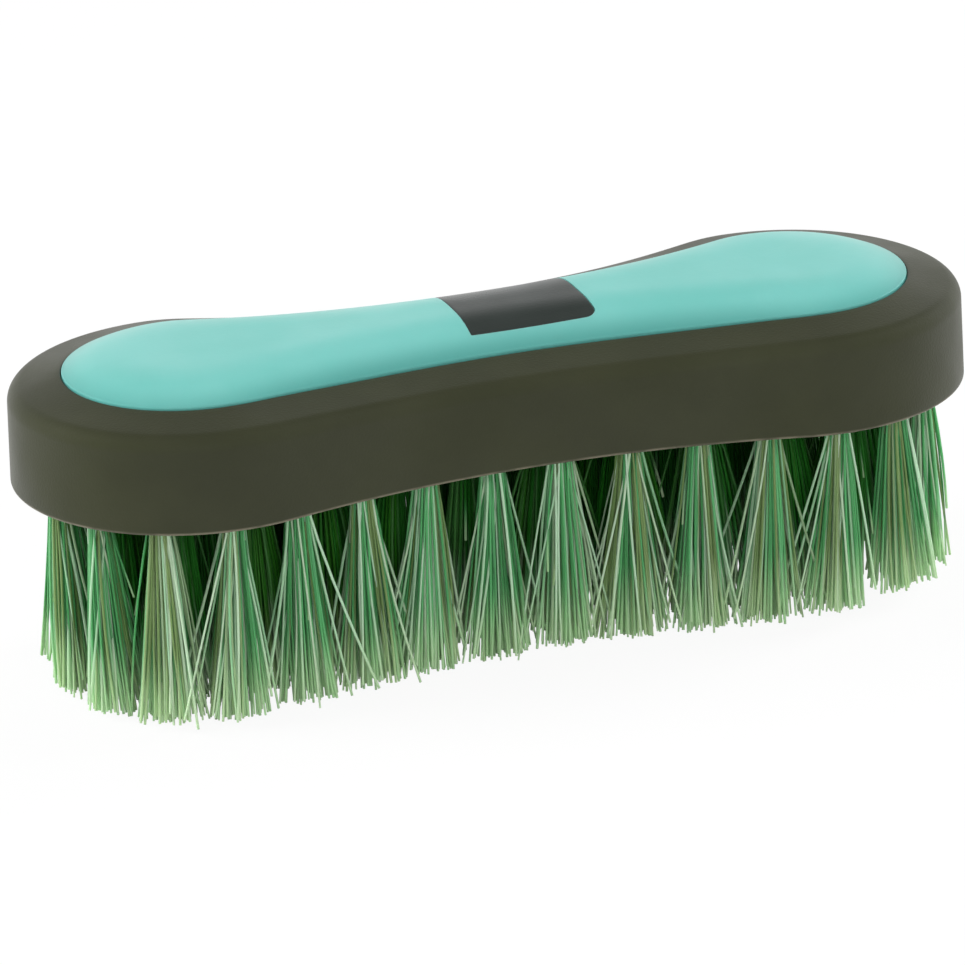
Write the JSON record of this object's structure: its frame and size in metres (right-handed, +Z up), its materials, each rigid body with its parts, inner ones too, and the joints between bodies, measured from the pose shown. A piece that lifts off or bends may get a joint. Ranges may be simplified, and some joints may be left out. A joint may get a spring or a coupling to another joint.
{
  "type": "horse grooming brush",
  "caption": "Small waisted grooming brush for horses: dark rubber-skinned body, crowned turquoise grip pad with a blank label patch, stapled tufts of green and taupe filaments.",
  "frame": {"origin": "middle of the brush on the plane of the bristle tips", "axes": "+X along the length of the brush, +Y across it, +Z up from the bristle tips to the grip pad"},
  "size_m": [0.1606, 0.0592, 0.0546],
  "materials": {
    "skin": "matte soft-touch, dark olive grey",
    "pad": "satin, slightly translucent turquoise gel",
    "label": "satin dark grey, no lettering",
    "block": "moulded, fine grain",
    "filament_green": "translucent drawn filament, green",
    "filament_taupe": "translucent drawn filament, taupe",
    "wire": "drawn flat wire"
  },
  "bodies": {
    "root": {"casing": "skin", "grip_pad": "pad", "label_patch": "label", "bristle_block": "block", "tuft_anchors": "wire", "tuft_01": "filament_green", "tuft_02": "filament_green", "tuft_03": "filament_taupe", "tuft_04": "filament_green", "tuft_05": "filament_green", "tuft_06": "filament_taupe", "tuft_07": "filament_green", "tuft_08": "filament_green", "tuft_09": "filament_taupe", "tuft_10": "filament_green", "tuft_11": "filament_green", "tuft_12": "filament_taupe", "tuft_13": "filament_green", "tuft_14": "filament_green", "tuft_15": "filament_taupe", "tuft_16": "filament_green", "tuft_17": "filament_green", "tuft_18": "filament_taupe", "tuft_19": "filament_green", "tuft_20": "filament_green", "tuft_21": "filament_taupe", "tuft_22": "filament_green", "tuft_23": "filament_green", "tuft_24": "filament_taupe", "tuft_25": "filament_green", "tuft_26": "filament_green", "tuft_27": "filament_taupe", "tuft_28": "filament_green", "tuft_29": "filament_green", "tuft_30": "filament_taupe", "tuft_31": "filament_green", "tuft_32": "filament_green", "tuft_33": "filament_taupe", "tuft_34": "filament_green", "tuft_35": "filament_green", "tuft_36": "filament_taupe", "tuft_37": "filament_green", "tuft_38": "filament_green", "tuft_39": "filament_taupe", "tuft_40": "filament_green", "tuft_41": "filament_green", "tuft_42": "filament_taupe", "tuft_43": "filament_green", "tuft_44": "filament_green", "tuft_45": "filament_taupe", "tuft_46": "filament_green", "tuft_47": "filament_green", "tuft_48": "filament_taupe", "tuft_49": "filament_green", "tuft_50": "filament_green", "tuft_51": "filament_taupe", "tuft_52": "filament_green", "tuft_53": "filament_green", "tuft_54": "filament_taupe"}
  },
  "joints": []
}
